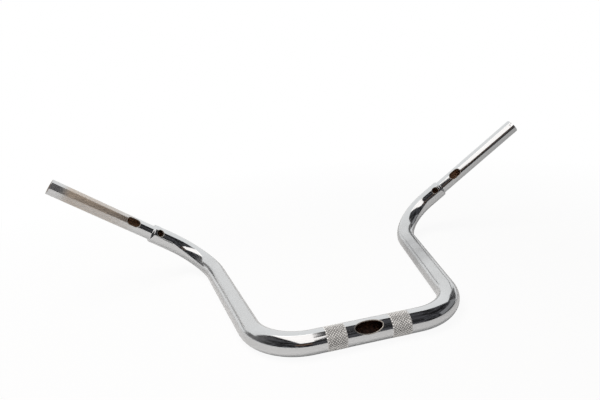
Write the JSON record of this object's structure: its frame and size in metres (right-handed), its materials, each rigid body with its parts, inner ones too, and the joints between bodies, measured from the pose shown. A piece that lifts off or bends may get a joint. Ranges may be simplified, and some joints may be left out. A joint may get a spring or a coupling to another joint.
{
  "type": "motorcycle handlebar",
  "caption": "Wide pull-back motorcycle handlebar of chromed steel tube, stepped down at the grips, with knurled clamp seats and hidden-wiring ports.",
  "frame": {"origin": "middle of the straight centre of the bar, on the tube's axis", "axes": "+X along the centre to the rider's right, +Y along the rise of the bar, +Z towards the rider, so the bar lies on its centre and risers with the grips in the air"},
  "size_m": [0.8505, 0.3544, 0.211],
  "materials": {
    "chromed_steel": "bright chrome plate over bent steel tube, hazed and finely scratched by use"
  },
  "bodies": {
    "root": {"handlebar": "chromed_steel"}
  },
  "joints": []
}
